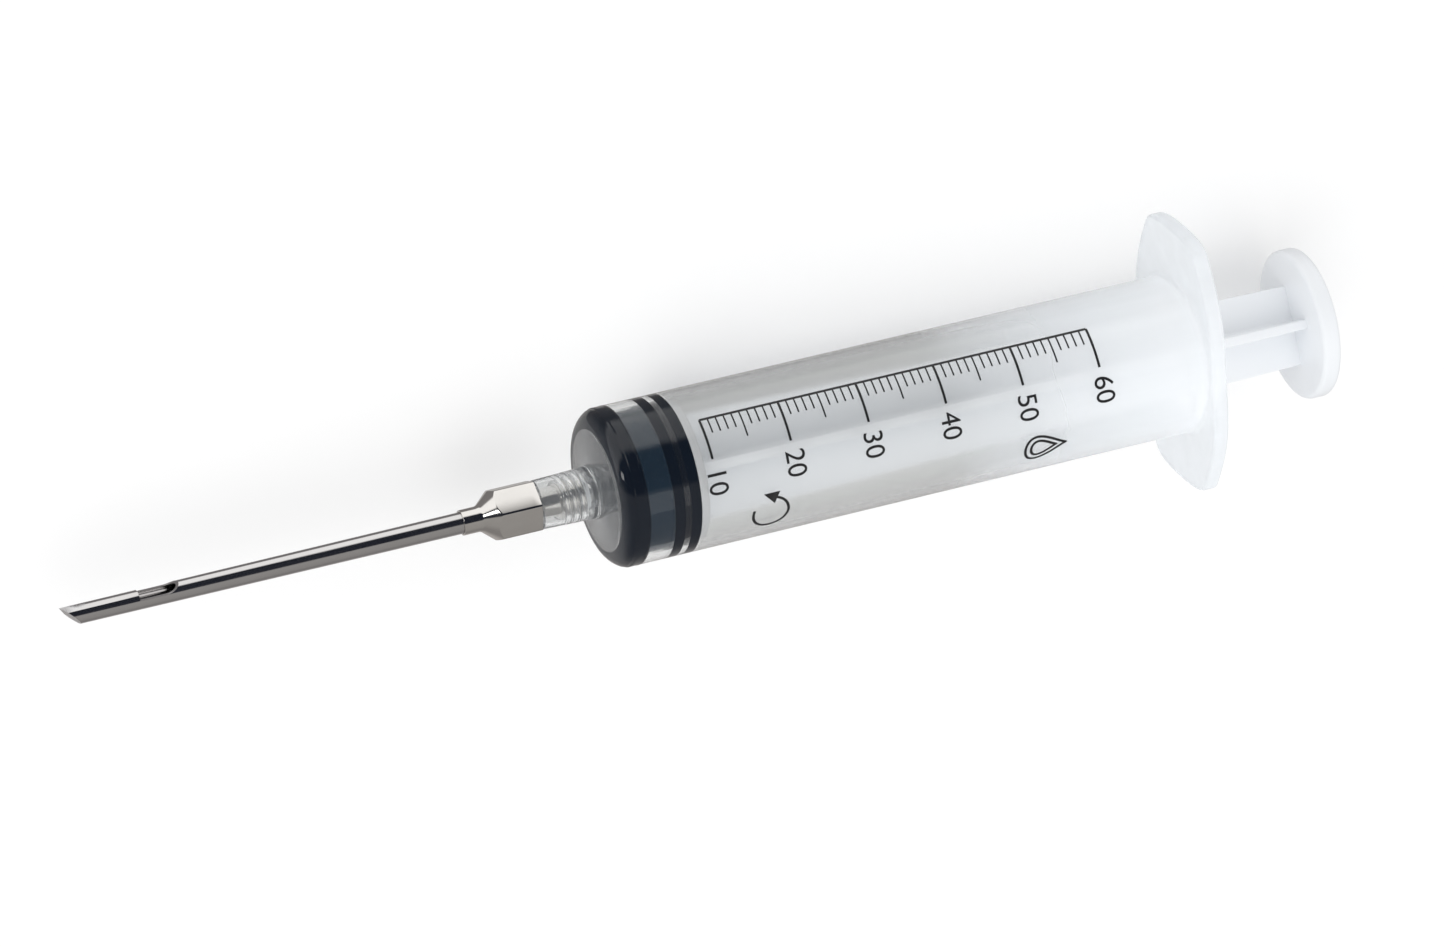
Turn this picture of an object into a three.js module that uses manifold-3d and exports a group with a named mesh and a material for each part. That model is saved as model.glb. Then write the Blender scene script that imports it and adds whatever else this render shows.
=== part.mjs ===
// A kitchen meat injector: a clear syringe barrel with a finger flange, a cross-ribbed plunger rod with a
// rubber piston, and a plated hub that carries a side-window needle and screws into the barrel's nozzle.
//
// Millimetres. The barrel's axis runs along X, needle towards -X and plunger towards +X, and the flange's two
// finger lobes point along +Y and -Y. Stations along the axis are counted from the barrel's shoulder rim, where
// the rounded front corner starts. The last group moves the whole to the middle of its own footprint.
import * as THREE from "three";
import { mergeVertices } from "three/addons/utils/BufferGeometryUtils.js";
import Module from "manifold-3d";

// ---- driving dimensions ----

// barrel tube and its closed front
const barrelOuter = 31; // outside diameter
const barrelWall = 1.4;
const barrelLength = 118.15; // shoulder rim to the flange's front face
const cornerReach = 2.8; // the rounded front corner, along the axis
const cornerInset = 3.7; // the rounded front corner, inwards from the tube's outside
const cornerStart = 35; // degrees the corner turns at once at the rim, which leaves a fine edge there
const faceRise = 0.9; // the shallow cone from that corner to the nozzle's root
const passageBore = 4; // hole from the socket into the barrel

// retaining bead inside the rear end, which stops the piston
const beadHeight = 0.5;
const beadWidth = 1.4;
const beadFromFlange = 2.9; // bead's middle to the flange's front face

// finger flange
const flangeThickness = 3.2;
const lobeReach = 11.4; // how far each finger lobe stands out from the tube
const sideReach = 2.1; // how far each straight side stands out from the tube
const flangeFlat = 9; // length of each straight side
const lobeCorner = { fromTip: 2.5, across: 22.1 }; // where each slanted edge meets the lobe's rounded end
const lobeSlant = 31; // degrees between that edge and the lobe's length
const lobeEase = 0.3; // share of the corner's distance over which the edge bends into that slant
const mouthChamfer = 0.6; // at the barrel's open rear end

// nozzle and screw thread
const nozzleWall = 0.95; // at its tip, round the hub's thread
const nozzleDraft = 0.35; // how much thicker that wall is at the front face
const nozzleLength = 11.05;
const threadMajor = 7.6; // hub's thread over its crests
const threadDepth = 0.65;
const threadPitch = 1.6; // right-handed
const threadLength = 5;
const threadRootWidth = 0.8;
const threadCrestWidth = 0.4;
const threadBond = 0.3; // how deep a ridge is rooted in its wall

// needle hub
const hexFlats = 9.525; // across the flats, a 3/8 inch spanner size
const hexLength = 7.8;
const coneLength = 3.6; // from the collar out to the hexagon's corners
const collarWall = 0.375; // round the needle's tube
const collarLength = 3.5;
const collarChamfer = 0.25;
const neckOuter = 6; // smooth shank between the hexagon and the thread
const neckLength = 4.1;
const pilotOuter = 4.4; // spigot that carries the seal washer
const hubChannel = 3; // bore through the shank
const tubeSeat = 8; // how deep the tube stands in the hub

// needle tube, its window and its point
const tubeOuter = 4.15; // at the hub
const tubeOuterTip = 3.7;
const tubeWall = 0.4;
const needleReach = 79.3; // tube showing in front of the collar
const windowFromTip = 15; // needle's point to the window's square end
const windowFloor = 5.2; // length of the window's level stretch
const windowRunout = 3; // length of the stretch where it climbs out of the tube
const windowDepth = 0.6; // share of the tube's radius that is cut away
const bevelLength = 3.4; // the slanted end cut, along the axis
const facetLength = 4.8; // the two side grinds that sharpen the point
const facetSpread = 38; // degrees from the point's side to each grind
const plugLength = 12; // solid metal that closes the tube's end

// seal washer at the end of the hub's shank
const washerThickness = 1.1;

// rubber piston: bands along its length, and how deep its grooves are
const wideGroove = { start: 3, end: 7.8, depth: 0.55 };
const thinGroove = { start: 10.1, end: 11.1, depth: 0.45 };
const pistonRear = 13.3;
const lipThickness = 2.2; // rubber behind the rod's head

// plunger rod
const rodDiscThickness = 1.6; // pressure disc behind the piston
const rodHead = { diameter: 14.4, length: 3.2, chamfer: 0.8 };
const rodNeck = 9.8;
const ribThickness = 1.8;
const ribSpanFront = 20.4; // over two opposite ribs at the pressure disc
const ribSpanRear = 15.6; // at the thumb disc
const thumbReach = 21.9; // flange's rear face to the thumb disc, piston home
const thumbOuter = 29.6;
const thumbThickness = 3.8;
const thumbRound = 1.1;

// how the pieces are turned about the axis, in degrees from +Z towards +Y
const hexTurn = 22; // one corner of the hexagon
const ribTurn = 24; // one rib
const windowTurn = 81; // middle of the needle's window
const pointTurn = 117; // side that the needle's sharp point is on

// clearances
const pistonClearance = 0.15; // rubber to bore, all round
const discClearance = 0.8; // pressure disc to bore, all round
const homeGap = 0.4; // piston's front to the barrel's inside, at home
const snapGap = 0.3; // rod's head in the rubber
const threadClearance = 0.2;
const seatGap = 0.3; // hexagon to nozzle, and washer to the socket's floor
const fitGap = 0.1; // tube in the hub, plug in the tube, washer on its spigot

const wideSides = 60; // facets round the barrel and its piston
const narrowSides = 32; // facets round the nozzle, hub and needle

// ---- values that follow ----

const boreRadius = barrelOuter / 2 - barrelWall;
const flangeLength = barrelOuter + 2 * lobeReach;
const flangeWidth = barrelOuter + 2 * sideReach;
const nozzleTip = threadMajor + 2 * nozzleWall;
const nozzleRoot = nozzleTip + 2 * nozzleDraft;
const collarOuter = tubeOuter + 2 * collarWall;
const nozzleRootStation = -cornerReach - faceRise;
const nozzleTipStation = nozzleRootStation - nozzleLength;
const hexRear = nozzleTipStation - seatGap;
const coneRear = hexRear - hexLength;
const collarRear = coneRear - coneLength;
const collarFront = collarRear - collarLength;
const needleTip = collarFront - needleReach;
const threadStart = hexRear + neckLength;
const threadEnd = threadStart + threadLength;
const shankEnd = threadEnd + washerThickness + fitGap;
const socketFloor = shankEnd + seatGap;
const socketRadius = threadMajor / 2 + threadClearance;
const hexCorner = hexFlats / 2 / Math.cos(Math.PI / 6);
const flangeRear = barrelLength + flangeThickness;
const beadStation = barrelLength - beadFromFlange;
const rodDiscFront = pistonRear + snapGap;
const rodDiscRear = rodDiscFront + rodDiscThickness;
const thumbFront = flangeRear + thumbReach;
const thumbRear = thumbFront + thumbThickness;

// ---- shaping tools ----

const wasm = await Module();
wasm.setup();

const radians = THREE.MathUtils.degToRad;

// A solid turned about the X axis from [station, radius] pairs listed towards +X, axis to axis.
function turned(profile, sides = wideSides) {
  const points = profile.map(([station, radius]) => new THREE.Vector2(radius, station));
  return new THREE.LatheGeometry(points, sides).rotateZ(-Math.PI / 2);
}

// A round rod from one station to another, as a turned solid.
function rod(start, end, radius, sides = narrowSides) {
  return turned([[start, 0], [start, radius], [end, radius], [end, 0]], sides);
}

// An outline in the X-Z plane given thickness evenly to both sides of it.
function slab(shape, thickness, curveSegments = 12) {
  const options = { depth: thickness, bevelEnabled: false, curveSegments };
  return new THREE.ExtrudeGeometry(shape, options)
    .translate(0, 0, -thickness / 2)
    .rotateX(Math.PI / 2);
}

// Turns a geometry about the axis, counted from +Z towards +Y.
function spun(geometry, degrees) {
  return geometry.rotateX(-radians(degrees));
}

function polygon(pairs) {
  return new THREE.Shape(pairs.map(([x, y]) => new THREE.Vector2(x, y)));
}

// The last stretch of a quarter ellipse as [station, radius] pairs, from the tube's rim to its front face.
function roundedCorner(station, radius, reach, inset, steps) {
  const first = radians(cornerStart);
  return Array.from({ length: steps + 1 }, (_, i) => {
    const angle = first + (i / steps) * (Math.PI / 2 - first);
    const forward = (Math.sin(angle) - Math.sin(first)) / (1 - Math.sin(first));
    const inward = 1 - Math.cos(angle) / Math.cos(first);
    return [station - reach * forward, radius - inset * inward];
  });
}

// A geometry as a solid that can be joined and cut.
function solid(geometry) {
  const bare = geometry.clone();
  bare.deleteAttribute("normal");
  bare.deleteAttribute("uv");
  const merged = mergeVertices(bare, 1e-4);
  const mesh = new wasm.Mesh({
    numProp: 3,
    vertProperties: merged.getAttribute("position").array,
    triVerts: new Uint32Array(merged.index.array),
  });
  return new wasm.Manifold(mesh);
}

// The finished solid as a named mesh.
function piece(name, made, look) {
  const { vertProperties, triVerts } = made.getMesh();
  const geometry = new THREE.BufferGeometry();
  geometry.setAttribute("position", new THREE.BufferAttribute(vertProperties, 3));
  geometry.setIndex(new THREE.BufferAttribute(triVerts, 1));
  geometry.computeVertexNormals();
  const mesh = new THREE.Mesh(geometry, new THREE.MeshStandardMaterial(look));
  mesh.name = name;
  return mesh;
}

// One helical ridge. Every ridge with the same offset lies on the same right-handed helix.
function threadRidge(start, end, offset, rootRadius, crestRadius) {
  const perTurn = 28;
  const turnOf = (length) => (length / threadPitch) * 2 * Math.PI;
  const section = polygon([
    [-threadRootWidth / 2, rootRadius],
    [threadRootWidth / 2, rootRadius],
    [threadCrestWidth / 2, crestRadius],
    [-threadCrestWidth / 2, crestRadius],
  ]);
  const sweep = turnOf(end - start);
  const steps = Math.ceil((sweep / (2 * Math.PI)) * perTurn);
  const ridge = new THREE.ExtrudeGeometry(section, { depth: sweep, steps, bevelEnabled: false });
  const place = ridge.getAttribute("position");
  const firstAngle = turnOf(start - offset);
  for (let i = 0; i < place.count; i++) {
    const along = place.getX(i);
    const radius = place.getY(i);
    const swept = place.getZ(i);
    const angle = firstAngle + swept;
    const station = start + (swept / (2 * Math.PI)) * threadPitch + along;
    place.setXYZ(i, station, radius * Math.cos(angle), radius * Math.sin(angle));
  }
  return ridge;
}

// ---- barrel ----

// The flange's outline, lobes along X of the shape and straight sides across it.
function flangeOutline() {
  const tip = flangeLength / 2;
  const side = flangeWidth / 2;
  const corner = { along: tip - lobeCorner.fromTip, across: lobeCorner.across / 2 };
  const slant = { along: Math.cos(radians(lobeSlant)), across: Math.sin(radians(lobeSlant)) };
  const sidePull = flangeFlat; // how long the outline keeps the side's direction
  const slantPull = lobeEase * corner.along; // and the slanted edge's direction, on each side of the corner
  const endPull = lobeCorner.across / 4;
  const shape = new THREE.Shape();
  const quarter = (alongSign, acrossSign) => {
    const at = (along, across) => [alongSign * along, acrossSign * across];
    const flatEnd = at(flangeFlat / 2, side);
    const flatPull = at(flangeFlat / 2 + sidePull, side);
    const before = at(corner.along - slantPull * slant.along, corner.across + slantPull * slant.across);
    const meet = at(corner.along, corner.across);
    const turnPull = lobeCorner.fromTip; // how far the slanted edge's direction reaches past the corner
    const after = at(corner.along + turnPull * slant.along, corner.across - turnPull * slant.across);
    const endBefore = at(tip, endPull);
    const end = at(tip, 0);
    return { flatEnd, flatPull, before, meet, after, endBefore, end };
  };
  const outward = (q) => {
    shape.lineTo(...q.flatEnd);
    shape.bezierCurveTo(...q.flatPull, ...q.before, ...q.meet);
    shape.bezierCurveTo(...q.after, ...q.endBefore, ...q.end);
  };
  const inward = (q) => {
    shape.bezierCurveTo(...q.endBefore, ...q.after, ...q.meet);
    shape.bezierCurveTo(...q.before, ...q.flatPull, ...q.flatEnd);
  };
  shape.moveTo(-flangeFlat / 2, side);
  outward(quarter(1, 1));
  inward(quarter(1, -1));
  outward(quarter(-1, -1));
  inward(quarter(-1, 1));
  return shape;
}

function barrel() {
  const outerRadius = barrelOuter / 2;
  const shell = turned([
    [nozzleTipStation, 0],
    [nozzleTipStation, nozzleTip / 2],
    [nozzleRootStation, nozzleRoot / 2],
    ...roundedCorner(0, outerRadius, cornerReach, cornerInset, 4).reverse(),
    [flangeRear, outerRadius],
    [flangeRear, 0],
  ]);
  const plateOptions = { depth: flangeThickness, bevelEnabled: false, curveSegments: 7 };
  const plate = new THREE.ExtrudeGeometry(flangeOutline(), plateOptions)
    .rotateX(Math.PI / 2)
    .rotateZ(Math.PI / 2)
    .translate(barrelLength, 0, 0);
  const past = 1;
  const innerCorner = roundedCorner(0, boreRadius, cornerReach - barrelWall, cornerInset - barrelWall, 3);
  const [cornerStation, cornerRadius] = innerCorner[innerCorner.length - 1];
  const faceSlope = faceRise / (outerRadius - cornerInset - nozzleRoot / 2);
  const faceStation = cornerStation - faceSlope * (cornerRadius - passageBore / 2);
  const inside = turned([
    [faceStation, 0],
    [faceStation, passageBore / 2],
    ...innerCorner.reverse(),
    [beadStation - beadWidth / 2, boreRadius],
    [beadStation - beadWidth / 4, boreRadius - beadHeight],
    [beadStation + beadWidth / 4, boreRadius - beadHeight],
    [beadStation + beadWidth / 2, boreRadius],
    [flangeRear - mouthChamfer, boreRadius],
    [flangeRear + past, boreRadius + mouthChamfer + past],
    [flangeRear + past, 0],
  ]);
  const passage = rod(socketFloor - past, faceStation + past, passageBore / 2);
  const socket = rod(nozzleTipStation - past, socketFloor, socketRadius);
  const crestRadius = threadMajor / 2 - threadDepth + threadClearance;
  const ridgeEnd = socketFloor - threadRootWidth;
  const offset = threadStart + threadPitch / 2;
  const ridge = threadRidge(threadStart, ridgeEnd, offset, socketRadius + threadBond, crestRadius);
  return solid(shell)
    .add(solid(plate))
    .subtract(solid(inside))
    .subtract(solid(passage))
    .subtract(solid(socket))
    .add(solid(ridge));
}

// ---- plunger ----

function pistonSeal() {
  const radius = boreRadius - pistonClearance;
  const reach = cornerReach - barrelWall;
  const inset = cornerInset - barrelWall;
  const faceSlope = faceRise / (barrelOuter / 2 - cornerInset - nozzleRoot / 2);
  const front = roundedCorner(homeGap, radius, reach, inset, 3).reverse();
  const [frontStation, frontRadius] = front[0];
  const lipFront = pistonRear - lipThickness;
  const cavityFront = lipFront - rodHead.length - 2 * snapGap;
  const cavityRadius = rodHead.diameter / 2 + snapGap;
  const mouthRadius = rodNeck / 2 + snapGap;
  const ease = 0.3; // slope at each groove's sides
  return solid(
    turned([
      [frontStation - faceSlope * frontRadius, 0],
      ...front,
      [wideGroove.start - ease, radius],
      [wideGroove.start, radius - wideGroove.depth],
      [wideGroove.end - ease, radius - wideGroove.depth],
      [wideGroove.end, radius],
      [thinGroove.start - ease / 2, radius],
      [thinGroove.start, radius - thinGroove.depth],
      [thinGroove.end - ease / 2, radius - thinGroove.depth],
      [thinGroove.end, radius],
      [pistonRear - ease, radius],
      [pistonRear, radius - ease],
      [pistonRear, mouthRadius],
      [lipFront, mouthRadius],
      [lipFront, cavityRadius],
      [cavityFront, cavityRadius],
      [cavityFront, 0],
    ]),
  );
}

function plungerRod() {
  const lipFront = pistonRear - lipThickness;
  const headRear = lipFront - snapGap;
  const headFront = headRear - rodHead.length;
  const headRadius = rodHead.diameter / 2;
  const discRadius = boreRadius - discClearance;
  const front = turned([
    [headFront, 0],
    [headFront, headRadius - rodHead.chamfer],
    [headFront + rodHead.chamfer, headRadius],
    [headRear, headRadius],
    [headRear, rodNeck / 2],
    [rodDiscFront, rodNeck / 2],
    [rodDiscFront, discRadius],
    [rodDiscRear, discRadius],
    [rodDiscRear, 0],
  ]);
  const thumbRadius = thumbOuter / 2;
  const thumb = turned([
    [thumbFront, 0],
    [thumbFront, thumbRadius - thumbRound],
    [thumbFront + thumbRound, thumbRadius],
    [thumbRear - thumbRound, thumbRadius],
    [thumbRear, thumbRadius - thumbRound],
    [thumbRear, 0],
  ]);
  const sunk = 0.5; // how far the ribs run into both discs
  const web = polygon([
    [rodDiscRear - sunk, -ribSpanFront / 2],
    [thumbFront + sunk, -ribSpanRear / 2],
    [thumbFront + sunk, ribSpanRear / 2],
    [rodDiscRear - sunk, ribSpanFront / 2],
  ]);
  const ribs = [0, 90].map((turn) => solid(spun(slab(web, ribThickness), ribTurn + turn)));
  return solid(front).add(ribs[0]).add(ribs[1]).add(solid(thumb));
}

// ---- needle ----

function needleHub() {
  const collarRadius = collarOuter / 2;
  const shaft = turned(
    [
      [collarFront, 0],
      [collarFront, collarRadius - collarChamfer],
      [collarFront + collarChamfer, collarRadius],
      [collarRear, collarRadius],
      [coneRear, hexCorner],
      [hexRear, hexCorner],
      [hexRear, 0],
    ],
    2 * narrowSides,
  );
  const past = 1;
  const prismLength = hexRear - collarFront + past;
  const prism = new THREE.CylinderGeometry(hexCorner, hexCorner, prismLength, 6)
    .rotateZ(-Math.PI / 2)
    .translate(hexRear - prismLength / 2, 0, 0);
  const coreRadius = threadMajor / 2 - threadDepth;
  const shank = turned(
    [
      [hexRear - past, 0],
      [hexRear - past, neckOuter / 2],
      [threadStart, neckOuter / 2],
      [threadStart, coreRadius],
      [threadEnd, coreRadius],
      [threadEnd, pilotOuter / 2],
      [shankEnd, pilotOuter / 2],
      [shankEnd, 0],
    ],
    narrowSides,
  );
  const firstRidge = threadStart + threadRootWidth / 2;
  const lastRidge = threadEnd - threadRootWidth / 2;
  const ridge = threadRidge(firstRidge, lastRidge, threadStart, coreRadius - threadBond, threadMajor / 2);
  const seatEnd = collarFront + tubeSeat + fitGap;
  return solid(shaft)
    .intersect(solid(spun(prism, hexTurn)))
    .add(solid(shank))
    .add(solid(ridge))
    .subtract(solid(rod(collarFront - past, seatEnd, tubeOuter / 2 + fitGap)))
    .subtract(solid(rod(seatEnd - past, shankEnd + past, hubChannel / 2)));
}

// Everything that grinding takes off the needle's end: the slanted cut and the two side grinds.
function pointGrinds() {
  const tipRadius = tubeOuterTip / 2;
  const wide = 4 * tubeOuter;
  const bevelSlope = bevelLength / (2 * tipRadius);
  const bevel = polygon([
    [needleTip - wide, tipRadius],
    [needleTip, tipRadius],
    [needleTip + bevelSlope * (wide + tipRadius), -wide],
    [needleTip - wide, -wide],
  ]);
  const facetDepth = tipRadius * (1 - Math.cos(radians(facetSpread))); // so the two grinds meet at the point
  const grindSlope = facetDepth / facetLength;
  const grind = polygon([
    [needleTip - facetLength, tipRadius - 2 * facetDepth],
    [needleTip + 2 * facetLength, tipRadius + grindSlope * facetLength],
    [needleTip + 2 * facetLength, wide],
    [needleTip - facetLength, wide],
  ]);
  return [
    solid(spun(slab(bevel, 2 * wide), pointTurn)),
    solid(spun(slab(grind, 2 * wide), pointTurn - facetSpread)),
    solid(spun(slab(grind, 2 * wide), pointTurn + facetSpread)),
  ];
}

// The window's cutter: a square end near the point, a level floor, and a round climb out towards the hub.
function windowCut() {
  const start = needleTip + windowFromTip;
  const floorEnd = start + windowFloor;
  const radius = tubeOuter / 2;
  const floor = radius * (1 - windowDepth);
  const climb = radius - floor;
  const wheel = (windowRunout ** 2 + climb ** 2) / (2 * climb); // radius of the round climb
  const outside = climb + radius;
  const outline = new THREE.Shape();
  outline.moveTo(start, floor);
  outline.lineTo(floorEnd, floor);
  const lastAngle = Math.asin(Math.min(1, windowRunout / wheel));
  outline.absarc(floorEnd, floor + wheel, wheel, -Math.PI / 2, -Math.PI / 2 + lastAngle, false);
  outline.lineTo(floorEnd + windowRunout, floor + outside);
  outline.lineTo(start, floor + outside);
  return solid(spun(slab(outline, 2 * tubeOuter), windowTurn));
}

function needleTube() {
  const rootRadius = tubeOuter / 2;
  const tipRadius = tubeOuterTip / 2;
  const tubeRear = collarFront + tubeSeat;
  const tube = turned(
    [
      [needleTip, tipRadius - tubeWall],
      [needleTip, tipRadius],
      [collarFront, rootRadius],
      [tubeRear, rootRadius],
      [tubeRear, rootRadius - tubeWall],
      [collarFront, rootRadius - tubeWall],
      [needleTip, tipRadius - tubeWall],
    ],
    narrowSides,
  );
  return pointGrinds()
    .reduce((made, grind) => made.subtract(grind), solid(tube))
    .subtract(windowCut());
}

function needleTipPlug() {
  const plugRadius = tubeOuterTip / 2 - tubeWall - fitGap;
  const plug = solid(rod(needleTip, needleTip + plugLength, plugRadius));
  return pointGrinds().reduce((made, grind) => made.subtract(grind), plug);
}

function hubSeal() {
  const outer = threadMajor / 2 - threadDepth;
  const inner = pilotOuter / 2 + fitGap;
  const start = threadEnd + fitGap;
  const end = start + washerThickness;
  const washer = [[start, inner], [start, outer], [end, outer], [end, inner], [start, inner]];
  return solid(turned(washer, narrowSides));
}

// ---- the injector ----

const injector = new THREE.Group();
injector.position.set(-(needleTip + thumbRear) / 2, 0, flangeWidth / 2);
injector.add(
  piece("barrel", barrel(), {
    color: 0xe6ecec,
    roughness: 0.12,
    metalness: 0,
    transparent: true,
    opacity: 0.4,
  }),
  piece("plunger_rod", plungerRod(), { color: 0xeef2f6, roughness: 0.35, metalness: 0 }),
  piece("piston_seal", pistonSeal(), { color: 0x1b2733, roughness: 0.5, metalness: 0 }),
  piece("needle_hub", needleHub(), { color: 0xd9d2ca, roughness: 0.08, metalness: 1 }),
  piece("needle_tube", needleTube(), { color: 0xb9bbbd, roughness: 0.2, metalness: 1 }),
  piece("needle_tip_plug", needleTipPlug(), { color: 0xb0b2b4, roughness: 0.35, metalness: 1 }),
  piece("hub_seal", hubSeal(), { color: 0xdcdfe0, roughness: 0.4, metalness: 0 }),
);

const part = new THREE.Group();
part.add(injector);
export default part;
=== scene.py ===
import math
from bisect import bisect_left

import bmesh
import bpy
from mathutils import Matrix, Quaternion, Vector


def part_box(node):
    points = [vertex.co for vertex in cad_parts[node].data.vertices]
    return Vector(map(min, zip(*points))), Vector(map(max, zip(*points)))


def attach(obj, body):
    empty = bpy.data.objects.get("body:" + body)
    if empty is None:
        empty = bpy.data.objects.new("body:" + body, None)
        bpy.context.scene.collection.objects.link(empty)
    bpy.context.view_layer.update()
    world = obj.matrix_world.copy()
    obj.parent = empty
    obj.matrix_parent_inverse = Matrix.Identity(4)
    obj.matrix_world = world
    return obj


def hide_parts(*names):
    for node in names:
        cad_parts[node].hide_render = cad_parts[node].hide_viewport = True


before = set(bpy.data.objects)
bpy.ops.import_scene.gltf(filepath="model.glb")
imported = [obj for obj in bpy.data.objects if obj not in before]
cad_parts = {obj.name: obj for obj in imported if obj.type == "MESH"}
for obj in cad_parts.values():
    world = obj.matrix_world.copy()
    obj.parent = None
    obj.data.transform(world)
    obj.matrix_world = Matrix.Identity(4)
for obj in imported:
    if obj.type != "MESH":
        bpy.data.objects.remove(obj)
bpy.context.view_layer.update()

# Sizes in the dictionaries are millimetres and degrees. Stations run along the barrel's axis towards the
# plunger, counted from the barrel's front rim. Angles round the axis go from straight up towards +Y.
mm = 0.001
weld = 1e-7  # points closer than this, in metres, are one

tube = {
    "outer": 31.0, "wall": 1.4, "length": 118.15,
    "cornerReach": 2.8, "cornerInset": 3.7, "cornerStart": 35, "faceRise": 0.9,
    "passage": 4.0, "beadHeight": 0.5, "beadWidth": 1.4, "beadFromFlange": 2.9,
    "mouthChamfer": 0.6, "footFillet": 1.1, "rimChamfer": 0.22,
    "seam": 1.9, "seamWidth": 0.3, "seamHeight": 0.045,
    "matt": 13.4, "mouthRound": 0.3, "beadRound": 0.25,
}
flange = {
    "thickness": 3.2, "length": 53.8, "width": 35.2, "flat": 9.0,
    "cornerFromTip": 2.5, "cornerAcross": 22.1, "slant": 31, "slantEase": 0.3,
    "flatEase": 1.5, "tipEase": 0.5, "edgeRound": 0.75,
}
nozzle = {"root": 10.2, "tip": 9.5, "length": 11.05, "tipRound": 0.3, "rootRound": 0.5}
thread = {
    "major": 7.6, "depth": 0.65, "pitch": 1.6, "length": 5.0,
    "clearance": 0.2, "sharpness": 1.5, "runOut": 0.5, "socketRings": 72, "shankRings": 64,
}
hub = {
    "flats": 9.525, "hexLength": 7.8, "coneLength": 3.6, "collar": 4.9, "collarLength": 3.5,
    "neck": 6.0, "neckLength": 4.1, "pilot": 4.4, "channel": 3.0, "seat": 8.0,
    "cornerRound": 0.4, "crown": 0.09, "turn": 22, "rearRound": 0.12,
    "seatRoom": 0.1, "tubeGap": 0.06, "collarRound": 0.22, "flareRound": 1.3, "flareBlend": 0.06,
    "past": 0.25, "ringStep": 0.09, "flareEnd": 0.15, "roundBelow": 0.2, "seatEdge": 0.02, "shoulder": 1.0,
    "neckRound": 0.2, "threadRound": 0.1, "pilotRound": 0.05, "endRound": 0.15, "mouthRound": 0.1,
    "seatRound": 0.05,
}
needle = {
    "root": 4.15, "tip": 3.7, "wall": 0.4, "reach": 79.3,
    "windowFromTip": 15.0, "windowFloor": 5.2, "windowRunout": 3.0, "windowDepth": 0.6, "windowTurn": 81,
    "bevel": 3.4, "facet": 4.8, "facetSpread": 38, "pointTurn": 117, "plug": 12.0,
    "dulled": 0.015, "rearChamfer": 0.1, "plugGap": 0.01, "plugRound": 0.4,
}
washer = {"thickness": 1.1, "gap": 0.1, "outerRound": 0.25, "innerRound": 0.15}
seatGap = 0.3
sides = {"barrel": 288, "piston": 192, "rod": 144, "hub": 360, "needle": 128, "small": 96}  # facets all round

boreRadius = tube["outer"] / 2 - tube["wall"]
nozzleFoot = -tube["cornerReach"] - tube["faceRise"]
nozzleTip = nozzleFoot - nozzle["length"]
hexRear = nozzleTip - seatGap
coneRear = hexRear - hub["hexLength"]
collarRear = coneRear - hub["coneLength"]
collarFront = collarRear - hub["collarLength"]
needleTip = collarFront - needle["reach"]
threadStart = hexRear + hub["neckLength"]
threadEnd = threadStart + thread["length"]
shankEnd = threadEnd + washer["thickness"] + washer["gap"]
socketFloor = shankEnd + seatGap
socketRadius = thread["major"] / 2 + thread["clearance"]
flangeRear = tube["length"] + flange["thickness"]

barrelLow, barrelHigh = (Vector(corner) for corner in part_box("barrel"))
axisHeight = (barrelLow.z + barrelHigh.z) / 2
originX = barrelHigh.x - flangeRear * mm


def place(station, angle, radius):
    return Vector((
        originX + station * mm,
        radius * math.sin(angle) * mm,
        axisHeight + radius * math.cos(angle) * mm,
    ))


# The station and the distance from the axis of a point on a mesh.
def spotOf(point):
    return (point.x - originX) / mm, math.hypot(point.y, point.z - axisHeight) / mm


# mesh tools

def finishMesh(name, verts, faces, materials, sharpAngle=32):
    mesh = bpy.data.meshes.new(name)
    mesh.from_pydata(verts, [], faces)
    made = bpy.data.objects.new(name, mesh)
    bpy.context.scene.collection.objects.link(made)
    for material in materials:
        mesh.materials.append(material)
    cleanMesh(made, sharpAngle)
    return made


def cleanMesh(made, sharpAngle=32):
    work = bmesh.new()
    work.from_mesh(made.data)
    bmesh.ops.remove_doubles(work, verts=work.verts, dist=weld)
    bmesh.ops.dissolve_degenerate(work, edges=work.edges, dist=weld)
    bmesh.ops.recalc_face_normals(work, faces=work.faces)
    for face in work.faces:
        face.smooth = True
    work.to_mesh(made.data)
    work.free()
    made.data.set_sharp_from_angle(angle=math.radians(sharpAngle))


# Joins rings round the axis into one skin. A ring is (station, radius), and the radius may be a function of
# the angle. loop closes the last ring onto the first, for a piece with a hole through it.
def loft(name, rings, segments, materials, loop=False, sharpAngle=32):
    verts, faces, rows = [], [], []
    for station, radius in rings:
        start = len(verts)
        if radius == 0:
            verts.append(place(station, 0, 0))
            rows.append([start])
            continue
        for i in range(segments):
            angle = 2 * math.pi * i / segments
            verts.append(place(station, angle, radius(angle) if callable(radius) else radius))
        rows.append(list(range(start, start + segments)))
    pairs = list(zip(rows, rows[1:]))
    if loop:
        pairs.append((rows[-1], rows[0]))
    for here, there in pairs:
        for i in range(segments):
            j = (i + 1) % segments
            if len(here) == 1:
                faces.append((here[0], there[i], there[j]))
            elif len(there) == 1:
                faces.append((here[i], there[0], here[j]))
            else:
                faces.append((here[i], there[i], there[j], here[j]))
    return finishMesh(name, verts, faces, materials, sharpAngle)


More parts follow.
